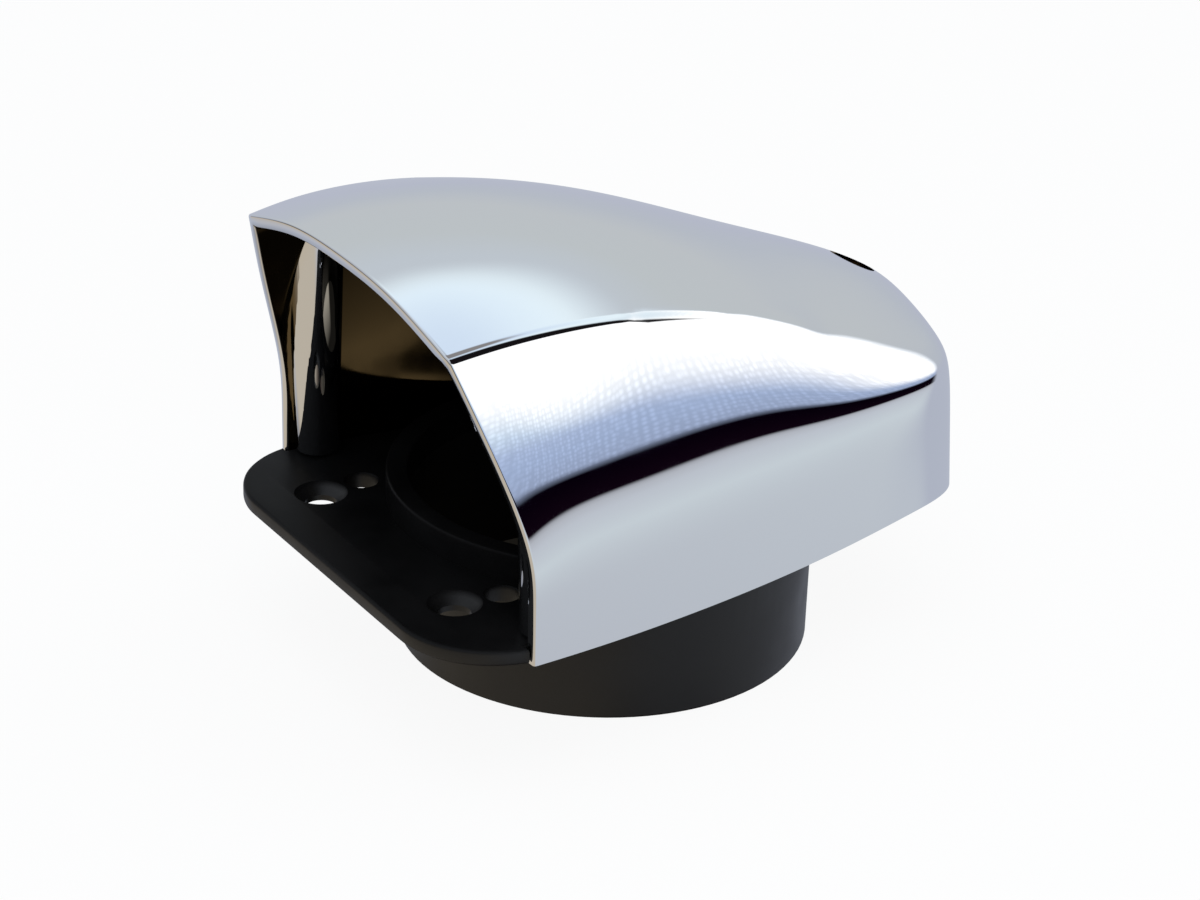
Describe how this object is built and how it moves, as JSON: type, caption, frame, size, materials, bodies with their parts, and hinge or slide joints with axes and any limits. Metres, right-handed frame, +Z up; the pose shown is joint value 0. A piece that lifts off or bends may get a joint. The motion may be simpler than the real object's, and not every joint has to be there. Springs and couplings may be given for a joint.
{
  "type": "cowl vent",
  "caption": "Low deck ventilator: a chromed cowl with a raked forward mouth on a black base plate whose round spigot takes ventilation hose below deck.",
  "frame": {"origin": "centre of the bounding box in plan, at the level of the hose spigot's lower end", "axes": "+Z up along the spigot's axis; +Y from the mouth towards the rear, so the mouth faces -Y; +X across; the deck face of the plate is at z = 0.023"},
  "size_m": [0.092, 0.121, 0.0863],
  "materials": {
    "chrome": "bright chrome plating",
    "black_plastic": "satin moulded black",
    "stainless_steel": "plain"
  },
  "bodies": {
    "root": {"cowl_shell": "chrome", "base_plate": "black_plastic", "pillar_screw_left": "stainless_steel", "pillar_screw_right": "stainless_steel", "rear_cowl_screw": "stainless_steel"}
  },
  "joints": []
}
